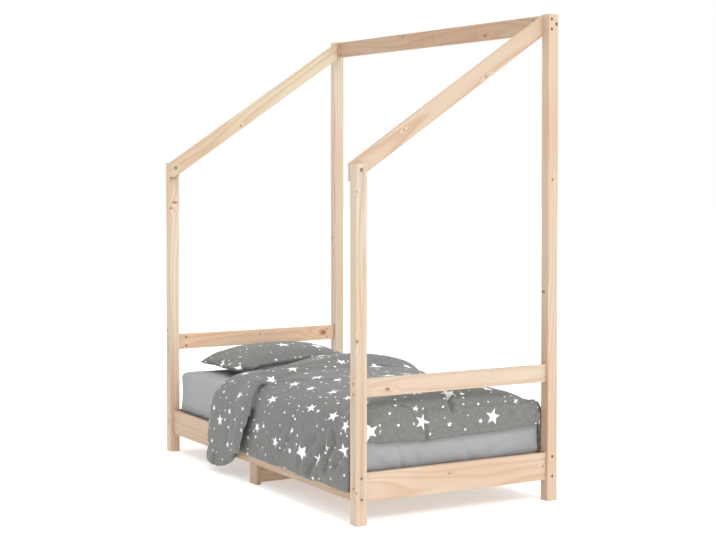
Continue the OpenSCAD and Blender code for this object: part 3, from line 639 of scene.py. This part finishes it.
# Quilt: one wadded cover, with its head end folded back. Millimetres, but metres for the cloth
quilt = {
    "start": -400,  # head edge
    "fold": -60,  # free edge of the folded stretch
    "over": 800.8,  # just past the mattress, where the foot end starts to hang
    "end": 819,
    "deep": 64,  # thickness over the mattress
    "foldDeep": 42,
    "footRise": 17,  # the cover lies this much higher at the foot end
    "headRim": 150,  # how far the rounding reaches in from each edge
    "footRim": 120,
    "foldRim": 230,
    "top": 360,  # top of the mattress
    "mattressSide": 400.4,
    "rail": 432,  # cloth clears the side rail from here
    "railTop": 189,
    "side": 434,  # outer face of the hanging side, at the shoulder
    "foldSide": 446,
    "farSide": 416,
    "lean": 14,  # the hem stands out further than the shoulder
    "foldLean": 20,
    "hem": 112,
    "foldHem": 28,
    "footHem": 275,
    "footHemAcross": (-392, -373, -330, -184, -97, 48, 120, 210, 290, 336, 392),
    "footHemLift": (22, 16, 4, -1, -5, 0, 1, 3, 9, 11, 19),
    "farHem": 188,
    "nearShoulder": 300,
    "farShoulder": 330,
    "nearRound": 2.3,  # 2 is a round shoulder, more is a square one
    "farRound": 2.1,
    "footRound": 3.4,
    "underRound": 12,
    "underShoulder": 320,
    "waves": 8,
    "waveLength": 300,
    "mouth": 90,  # how deep the gap under the free edge reaches
    "mouthGap": 27,
    "lip": 17,
    "flare": 15,
    "points": 170,  # along each line across the bed
    "step": 12,  # between lines
    "level": 0.44,  # metres from here to the wrinkles; the cloth falls from this height to its edges
    "voxel": 0.006,
    "coarse": 0.014,
    "pressure": 4,
    "cap": 0.006,
    "grow": 0.01,
    "wrinkles": (0.16, 0.0025, (1, 2, 1)),
    "creases": (
        # hanging side
        (8, 14, (265, -449, 183), (292, -447, 202), (326, -446, 230)),
        (9, 15, (432, -453, 150), (473, -449, 208), (508, -445, 246), (540, -444, 266)),
        (13, 14, (505, -453, 135), (521, -452, 166), (561, -448, 202), (596, -446, 233), (622, -444, 251)),
        (12, 13, (625, -450, 170), (644, -447, 213), (668, -445, 247), (693, -443, 270), (671, -440, 304)),
        (9, 13, (700, -450, 190), (731, -449, 219), (764, -446, 249)),
        (4.75, 14, (55, -453, 153), (145, -451, 190)),
        # free edge of the folded stretch, and the slack cloth round it
        (5.7, 13, (-56, -339, 404), (-60, -262, 413), (-70, -192, 420), (-80, -80, 428)),
        (5.7, 15, (-170, -300, 437), (-150, -238, 447), (-115, -167, 456), (-106, -83, 465), (-110, 40, 470)),
        (4.75, 18, (-11, -326, 394), (58, -261, 409), (150, -214, 418), (252, -166, 426)),
        # folded stretch: side, far shoulder, tongue and near shoulder
        (3, 18, (-172, -455, 214), (-170, -462, 124)),
        (2.5, 16, (-111, -452, 260), (-107, -462, 150)),
        (9, 7, (-60, 190, 430), (-52, 290, 408), (-50, 345, 385)),
        (9.5, 11, (-300, -470, 22), (-297, -466, 40), (-292, -463, 66)),
        (6, 6, (-41, -348, 388), (-46, -365, 383), (-41, -380, 374), (-31, -397, 361)),
        # foot end
        (11, 6, (825, -137, 392), (827, -139, 352), (816, -128, 305), (816, -121, 275)),
        (19, 9, (795, -14, 427), (813, -21, 415), (823, -21, 398), (826, -17, 380)),
        (7, 6, (808, -228, 410), (818, -195, 402), (824, -142, 391), (824, -52, 389)),
        (6, 6, (824, 0, 388), (824, 63, 388), (821, 173, 386), (816, 273, 384), (800, 383, 379)),
        (5.7, 14, (815, -392, 372), (819, -261, 372), (819, -150, 365)),
        (5.7, 14, (819, -20, 358), (819, 120, 352), (818, 250, 350)),
        (4.75, 12, (819, -380, 320), (819, -330, 290)),
    ),
    "fill": 0.45,
}


# Height of the quilt's crown. Folded is 1 on the folded stretch and 0 elsewhere
def quiltTop(x, folded):
    rise = quilt["footRise"] * ease((x - quilt["fold"] - 100) / 600)
    rim = quarter(x - quilt["start"] + 18, quilt["headRim"])
    main = (quilt["deep"] + rise) * rim * quarter(quilt["end"] + 8 - x, quilt["footRim"])
    fold = quilt["foldDeep"] * quarter(x - quilt["start"] - 22, quilt["foldRim"])
    dip = 3 * math.exp(-((x - quilt["fold"] - 14) / 30) ** 2) * (1 - folded)
    return quilt["top"] + 4 + main + fold * folded - dip


# Quarter of a rounded outline, from the side at y and z up to the top over mid
def arch(y, z, top, roundness, mid, angles):
    c, s = np.cos(np.radians(angles)), np.sin(np.radians(angles))
    return [(mid + (y - mid) * max(a, 0) ** (2 / roundness), z + (top - z) * max(b, 0) ** (2 / roundness))
            for a, b in zip(c, s)]


# Both quarters, from the near side over the top to the far side. Near and far are y, z and roundness
def archOver(near, far, top, mid, first=0):
    rising = arch(*near[:2], top, near[2], mid, range(first, 91, 5))
    falling = arch(*far[:2], top, far[2], mid, range(85, -1, -5))
    return rising + falling


# Outer line of the quilt across the bed, from the near hem over the top to the far hem
def outerLine(x, folded):
    foot = ease((x - quilt["over"] + 160) / 150)
    tongue = bulge(x - quilt["start"] + 38, 90) * bulge(quilt["fold"] - 50 - x, 177) * folded
    hem = quilt["hem"] + (quilt["foldHem"] - quilt["hem"]) * tongue
    roundIn = 10 * (1 - quarter(x - quilt["start"], 60))
    flare = quilt["flare"] * ease((x - quilt["fold"] + 110) / 80) * folded
    lean = quilt["foldLean"] if folded else quilt["lean"]
    tuck = 5 * math.exp(-((x - quilt["fold"]) / 80) ** 2)
    nearY = (quilt["foldSide"] + flare if folded else quilt["side"] - tuck) - roundIn
    head = 1 - ease((x - quilt["fold"]) / 200)
    farY = quilt["farSide"] + 24 * folded + 28 * head
    farShoulder = quilt["farShoulder"] + 32 * head
    nearRound = quilt["nearRound"] + 1.1 * foot
    farRound = quilt["farRound"] - 0.1 * folded - 0.25 * ease((x - 500) / 250)
    wave = quilt["waves"] * (0.5 - 0.5 * math.cos(math.tau * x / quilt["waveLength"])) * (1 - folded)
    shoulder = quilt["nearShoulder"]
    hang = [(-nearY - (lean + wave) * (1 - t), hem + (shoulder - hem) * t)
            for t in (0, 0.12, 0.25, 0.4, 0.55, 0.7, 0.85)]
    over = archOver((-nearY, shoulder, nearRound), (farY, farShoulder, farRound), quiltTop(x, folded),
                    20 * folded)
    farHang = [(farY - 18 * folded * (1 - t), quilt["farHem"] + (farShoulder - quilt["farHem"]) * t)
               for t in (0.7, 0.35, 0)]
    return resample(hang + over + farHang, quilt["points"])


# Inner line, which lies on the mattress and hangs clear of the side rail
def innerLine():
    y, low, shoulder = quilt["mattressSide"], quilt["hem"], quilt["underShoulder"]
    hang = [(-quilt["rail"], low), (-quilt["rail"], (low + quilt["railTop"]) / 2),
            (-quilt["rail"], quilt["railTop"]), (-416, 254), (-y, shoulder)]
    over = archOver((-y, shoulder, quilt["underRound"]), (y, shoulder, quilt["underRound"]),
                    quilt["top"] + 0.4, 0, first=5)
    farHang = [(y, 284), (y, 242), (y, quilt["farHem"])]
    return resample(hang + over + farHang, quilt["points"])


# Bends the edges across the bed: the free edge bows to the foot, the head corner is drawn in, and the
# cloth sinks where the folded stretch is slack
def foldBow(points, folded=0):
    x, y, z = points.T
    push = 60 * np.exp(-((x - quilt["fold"]) / 120) ** 2 - ((z - 300) / 90) ** 2 - ((y + 432.5) / 150) ** 2)
    push += folded * 26 * ease((x - quilt["fold"] + 110) / 80) * ease((-y - 380) / 60)
    drop = (z - 355) / np.where(z > 355, 70, 115)
    push += 48 * np.exp(-((x - quilt["start"]) / 80) ** 2 - drop ** 2 - ((y + 420) / 80) ** 2)
    slack = np.exp(-((y + 190) / 175) ** 2) * (1 - ease((x + 250) / 170))
    sink = 0.42 * slack * np.maximum(z - quilt["top"], 0)
    return points + np.stack([push, 0 * x, -sink], 1)


# The quilt's section at x, round from the outer line to the inner one
def ringAt(x, outer, inner):
    line = np.vstack([outer, inner[::-1]])
    return np.column_stack([np.full(len(line), x), line])


# Places of the lines along the bed: close together at the rounded head edge, then evenly spaced
def headSteps(before, to):
    around = [quilt["start"] - before + (60 + before) * (1 - math.cos(math.radians(a)))
              for a in range(0, 90, 10)]
    return around + list(np.arange(quilt["start"] + 66, to, quilt["step"]))


build = bmesh.new()
skinOf([foldBow(ringAt(x, outerLine(x, 0), innerLine()))
        for x in headSteps(0, 770) + [780, 790, 797, quilt["over"]]], build)

# foot end, hanging between the mattress and the rail
rings = []
for x in np.linspace(802, quilt["end"], 6):
    y = 392 - 4 * (x > 812)
    hem, shoulder = quilt["footHem"], quilt["nearShoulder"]
    over = archOver((-y, shoulder, quilt["footRound"]), (y, shoulder, quilt["footRound"]),
                    quiltTop(x, 0), 0)
    outer = [(-y, hem)] + over + [(y, hem)]
    inner = [(-y + 2, hem), (0, hem), (y - 2, hem)]
    ring = ringAt(x, resample(outer, quilt["points"]), resample(inner, quilt["points"]))
    lift = np.interp(ring[:, 1], quilt["footHemAcross"], quilt["footHemLift"])
    ring[:, 2] += lift * np.clip((335 - ring[:, 2]) / 60, 0, 1)
    rings.append(ring)
skinOf([rings[0] - (6, 0, 0)] + rings, build)

# folded stretch: its underside leaves a gap behind the free edge
rings = []
lip = quilt["lip"]
lipSteps = [quilt["fold"] - lip * (1 - math.sin(math.radians(a))) for a in range(0, 86, 12)]
for x in headSteps(2, quilt["fold"] - lip) + lipSteps:
    outer, low = outerLine(x, 1), outerLine(x, 0)
    reach = np.linalg.norm(outer[:, None] - low[None], axis=2)
    flat = ease((outer[:, 0] + 385) / 60) * ease((outer[:, 1] - 250) / 60)
    level = 0.85 * flat * ease((x - quilt["fold"] + 120) / 115)
    outer += (low[reach.argmin(1)] - outer) * level[:, None]
    apart = np.where(outer[:, 1] < quilt["hem"], 20, reach.min(1) * (1 - level))
    gape = quilt["mouthGap"] * np.where(outer[:, 0] > 0, 0, 0.42 + 0.58 * ease((330 - outer[:, 1]) / 90))
    gape *= (1 - flat) * ease((x - quilt["fold"] + quilt["mouth"]) / (quilt["mouth"] - 20))
    thick = np.clip(apart - gape + 8 * (gape < 0.5), 8, 70)
    along = np.gradient(outer, axis=0)
    along /= np.linalg.norm(along, axis=1, keepdims=True)
    inner = outer + np.stack([along[:, 1], -along[:, 0]], 1) * thick[:, None]
    closing = math.sqrt(max(0, 1 - (max(0, x - quilt["fold"] + lip) / lip) ** 2))
    middle = (outer + inner) / 2
    upper = middle + (outer - middle) * closing
    under = middle + (inner - middle) * closing
    rings.append(foldBow(ringAt(x, upper, under), 1))
skinOf(rings, build)
cover = meshPiece("quiltCover", build)
remesh(cover, quilt["voxel"], 4)

# the print follows the cloth down over each edge; lengths are in metres from here
points = coordinates(cover)
x, y, z = points.T
atFoot = ease((x - 0.765) / 0.05) * (1 - ease((np.abs(y) - 0.385) / 0.045))
atSide = ease((np.abs(y) - 0.25) / 0.17) * (1 - atFoot)
fall = quilt["level"] - z
atHead = (1 - ease((x + 0.4) / 0.15)) * (1 - atSide)
markPrint(cover, x + fall * (atFoot - atHead), y + np.sign(y) * fall * atSide)

# the far corner of the foot end stands up
corner = 0.022 * np.exp(-((y - 0.39) / 0.03) ** 2) * ease((x - 0.73) / 0.07) * ease((z - 0.3) / 0.05)
setCoordinates(cover, points + np.stack([0 * x, 0 * y, corner], 1))
swell(cover, quilt, ("mattress", "side_rail_front", "side_rail_rear", "lower_rail_foot"))
addWrinkles(cover, *quilt["wrinkles"])
press(cover, quilt["creases"])
shadeSmooth(cover)
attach(cover, "root")
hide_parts("quilt")
print("quilt:", len(cover.data.vertices), "points")


# Printed cotton: fine plain weave, dull, with white five-pointed stars and dots
cotton = {
    "ground": "7f807e",
    "shade": "6f706d",
    "white": "f4f5f5",
    "large": (0.165, 0.024, 0.037, 0.85, 0.5),  # cell, smallest and largest radius, share of cells, drift
    "small": (0.074, 0.008, 0.016, 0.27, 0.5),
    "dots": (0.047, 0.0025, 0.0056, 0.46, 0.6),
    "waist": 0.42,  # inner corners of a star, as a share of its points
    "bare": 0.004,  # no smaller mark this close round a star
    "inkEdge": 0.0006,
    "thread": 0.0032,  # real threads are 0.3 mm, drawn ten times as coarse to show
    "roughness": 0.88,
    "sheen": 0.12,
    "pillowSeed": 5.7,  # each moves the scattered marks to other places
    "quiltSeed": 1.24,
}


def makePrintedCotton(name, seed):
    material, tree = newMaterial(name)
    flat = addNode(tree, "Attribute", attribute_name="print").outputs["Vector"]
    waist = cotton["waist"]
    lean = math.atan2(1 - waist * math.cos(math.pi / 5), waist * math.sin(math.pi / 5))

    # One mark in each cell of a grid, drifted, sized and turned at random
    def scatter(cell, small, large, share, drift, shift):
        moved = addNode(tree, "VectorMath", {0: flat, 1: (shift, seed + shift, 0)},
                        operation="ADD").outputs[0]
        scaled = addNode(tree, "VectorMath", {0: moved, "Scale": 1 / cell}, operation="SCALE").outputs[0]
        square = addNode(tree, "VectorMath", {0: scaled}, operation="FLOOR").outputs[0]
        inside = addNode(tree, "VectorMath", {0: scaled}, operation="FRACTION").outputs[0]
        luck = addNode(tree, "TexWhiteNoise", {"Vector": square}, noise_dimensions="3D").outputs
        middle = addNode(tree, "VectorMath", {0: luck["Color"], 1: (drift, drift, 0),
                                              2: (0.5 - drift / 2, 0.5 - drift / 2, 0)},
                         operation="MULTIPLY_ADD").outputs[0]
        away = addNode(tree, "VectorMath", {0: inside, 1: middle}, operation="SUBTRACT").outputs[0]
        away = addNode(tree, "VectorMath", {0: away, 1: (cell, cell, 0)},
                       operation="MULTIPLY").outputs[0]
        reach = addNode(tree, "VectorMath", {0: away}, operation="LENGTH").outputs["Value"]
        size = addNode(tree, "MapRange", {"Value": luck["Value"], "From Min": 1 - share, "From Max": 1,
                                          "To Min": small, "To Max": large}).outputs[0]
        there = addNode(tree, "Math", {0: luck["Value"], 1: 1 - share},
                        operation="GREATER_THAN").outputs[0]
        size = addNode(tree, "Math", {0: size, 1: there}, operation="MULTIPLY").outputs[0]
        return away, reach, size, addNode(tree, "SeparateXYZ", {0: luck["Color"]}).outputs[2]

    def inked(distance, size):
        gap = addNode(tree, "Math", {0: distance, 1: size}, operation="SUBTRACT").outputs[0]
        return addNode(tree, "MapRange", {"Value": gap, "From Min": -cotton["inkEdge"],
                                          "From Max": cotton["inkEdge"], "To Min": 1,
                                          "To Max": 0}).outputs[0]

    def starred(away, reach, size, spin):
        parts = addNode(tree, "SeparateXYZ", {0: away}).outputs
        angle = addNode(tree, "Math", {0: parts[1], 1: parts[0]}, operation="ARCTAN2").outputs[0]
        angle = addNode(tree, "Math", {0: spin, 1: math.tau, 2: angle}, operation="MULTIPLY_ADD").outputs[0]
        fold = addNode(tree, "Math", {0: angle, 1: math.pi / 5}, operation="PINGPONG").outputs[0]
        fold = addNode(tree, "Math", {0: fold, 1: lean}, operation="SUBTRACT").outputs[0]
        edge = addNode(tree, "Math", {0: fold}, operation="COSINE").outputs[0]
        edge = addNode(tree, "Math", {0: edge, 1: reach}, operation="MULTIPLY").outputs[0]
        edge = addNode(tree, "Math", {0: edge, 1: 1 / math.cos(lean)}, operation="MULTIPLY").outputs[0]
        return inked(edge, size)

    def clearOf(reach, size):
        size = addNode(tree, "Math", {0: size, 1: cotton["bare"]}, operation="ADD").outputs[0]
        return addNode(tree, "Math", {0: reach, 1: size}, operation="GREATER_THAN").outputs[0]

    large = scatter(*cotton["large"], 0.0)
    small = scatter(*cotton["small"], 7.7)
    _, dotReach, dotSize, _ = scatter(*cotton["dots"], 3.3)
    free = clearOf(large[1], large[2])
    smallStar = addNode(tree, "Math", {0: starred(*small), 1: free}, operation="MULTIPLY").outputs[0]
    free = addNode(tree, "Math", {0: free, 1: clearOf(small[1], small[2])}, operation="MULTIPLY").outputs[0]
    dot = addNode(tree, "Math", {0: inked(dotReach, dotSize), 1: free}, operation="MULTIPLY").outputs[0]
    mark = addNode(tree, "Math", {0: starred(*large), 1: smallStar}, operation="MAXIMUM").outputs[0]
    mark = addNode(tree, "Math", {0: mark, 1: dot}, operation="MAXIMUM").outputs[0]

    # threads one way and the other, thick and thin in places
    weave = []
    for stretch in ((0.12, 1, 1), (1, 0.12, 1)):
        thread = addNode(tree, "VectorMath", {0: flat, 1: stretch}, operation="MULTIPLY").outputs[0]
        weave.append(addNode(tree, "TexNoise", {"Vector": thread, "Scale": 1 / cotton["thread"],
                                                "Detail": 1.5, "Roughness": 0.6}).outputs[0])
    slubs = addNode(tree, "Math", {0: weave[0], 1: weave[1]}, operation="ADD").outputs[0]
    tone = addNode(tree, "MapRange", {"Value": slubs, "From Min": 0.82, "From Max": 1.18}).outputs[0]
    ground = addNode(tree, "Mix", {0: tone, 6: linear(cotton["shade"]), 7: linear(cotton["ground"])},
                     data_type="RGBA").outputs[2]
    printed = addNode(tree, "Mix", {0: mark, 6: ground, 7: linear(cotton["white"])},
                      data_type="RGBA").outputs[2]
    bump = addNode(tree, "Bump", {"Height": slubs, "Strength": 0.25, "Distance": 0.0012}).outputs[0]
    shader = addNode(tree, "BsdfPrincipled", {"Base Color": printed, "Normal": bump,
                                              "Roughness": cotton["roughness"],
                                              "Sheen Weight": cotton["sheen"], "Sheen Roughness": 0.5,
                                              "Specular IOR Level": 0.2})
    addNode(tree, "OutputMaterial", {"Surface": shader.outputs[0]})
    return material


# Knitted mattress cover: fine upright jersey ribs, dull and faintly blue
jersey = {
    "light": "a1a3a5",
    "shade": "9a9c9e",
    "ribs": (260, 260, 90),  # real ribs are 1 mm wide, drawn about four times as wide to show
    "roughness": 0.9,
    "sheen": 0.1,
}


def makeJersey():
    material, tree = newMaterial("knittedJersey")
    where = addNode(tree, "TexCoord").outputs["Object"]
    ribs = addNode(tree, "VectorMath", {0: where, 1: jersey["ribs"]}, operation="MULTIPLY").outputs[0]
    rib = addNode(tree, "TexNoise", {"Vector": ribs, "Scale": 1.0, "Detail": 2.0}).outputs[0]
    cloud = addNode(tree, "TexNoise", {"Vector": where, "Scale": 5.0, "Detail": 2.0}).outputs[0]
    tone = addNode(tree, "Math", {0: rib, 1: cloud}, operation="ADD").outputs[0]
    tone = addNode(tree, "MapRange", {"Value": tone, "From Min": 0.7, "From Max": 1.3}).outputs[0]
    colour = addNode(tree, "Mix", {0: tone, 6: linear(jersey["shade"]), 7: linear(jersey["light"])},
                     data_type="RGBA").outputs[2]
    bump = addNode(tree, "Bump", {"Height": rib, "Strength": 0.12, "Distance": 0.001}).outputs[0]
    shader = addNode(tree, "BsdfPrincipled", {"Base Color": colour, "Normal": bump,
                                              "Roughness": jersey["roughness"],
                                              "Sheen Weight": jersey["sheen"], "Sheen Roughness": 0.5,
                                              "Specular IOR Level": 0.2})
    addNode(tree, "OutputMaterial", {"Surface": shader.outputs[0]})
    return material


dress(mattress, makeJersey())
dress(pillow, makePrintedCotton("printedCottonPillow", cotton["pillowSeed"]))
dress(cover, makePrintedCotton("printedCottonQuilt", cotton["quiltSeed"]))
print("covers: weave and print")

# Studio: pale matt floor that glows a little, white surround, large soft lamps
studio = {
    "floorSize": 30,  # from the middle to each edge, in metres
    "floorColour": "f4f4f3",
    "floorGlow": 0.38,
    "surround": 1.0,
    "nearSide": 0.66,  # the surround is dimmer towards -Y
    "lamps": (  # place, size and power
        ("keyLamp", (14.0, 0.5, 13.5), 7.5, 1275),
        ("topLamp", (-0.6, -1.2, 5.0), 3.5, 45),
    ),
    "aim": (0, 0, 0.5),
}
edge = studio["floorSize"]
floorMesh = bpy.data.meshes.new("floor")
floorMesh.from_pydata([(-edge, -edge, 0), (edge, -edge, 0), (edge, edge, 0), (-edge, edge, 0)], [],
                      [(0, 1, 2, 3)])
floor = bpy.data.objects.new("floor", floorMesh)
scene.collection.objects.link(floor)
material, tree = newMaterial("paleFloor")
shader = addNode(tree, "BsdfPrincipled", {"Base Color": linear(studio["floorColour"]), "Roughness": 0.9,
                                          "Emission Color": (1, 1, 1, 1),
                                          "Emission Strength": studio["floorGlow"]})
addNode(tree, "OutputMaterial", {"Surface": shader.outputs[0]})
floorMesh.materials.append(material)

world = bpy.data.worlds.new("studio")
scene.world = world
world.use_nodes = True
tree = world.node_tree
tree.nodes.clear()
direction = addNode(tree, "TexCoord").outputs["Generated"]
towards = addNode(tree, "SeparateXYZ", {0: direction}).outputs
dimmed = addNode(tree, "MapRange", {"Value": towards[1], "From Min": -1, "From Max": -0.1,
                                    "To Min": studio["nearSide"], "To Max": studio["surround"]}).outputs[0]
sky = addNode(tree, "Background", {"Color": (1, 1, 1, 1), "Strength": dimmed})
addNode(tree, "OutputWorld", {"Surface": sky.outputs[0]})
for name, place, size, power in studio["lamps"]:
    lamp = bpy.data.lights.new(name, "AREA")
    lamp.size = size
    lamp.energy = power
    lampObject = bpy.data.objects.new(name, lamp)
    lampObject.location = place
    aim = Vector(studio["aim"]) - Vector(place)
    lampObject.rotation_euler = aim.to_track_quat("-Z", "Y").to_euler()
    scene.collection.objects.link(lampObject)
scene.view_settings.view_transform = "Standard"
print("studio: floor, surround and lamps")
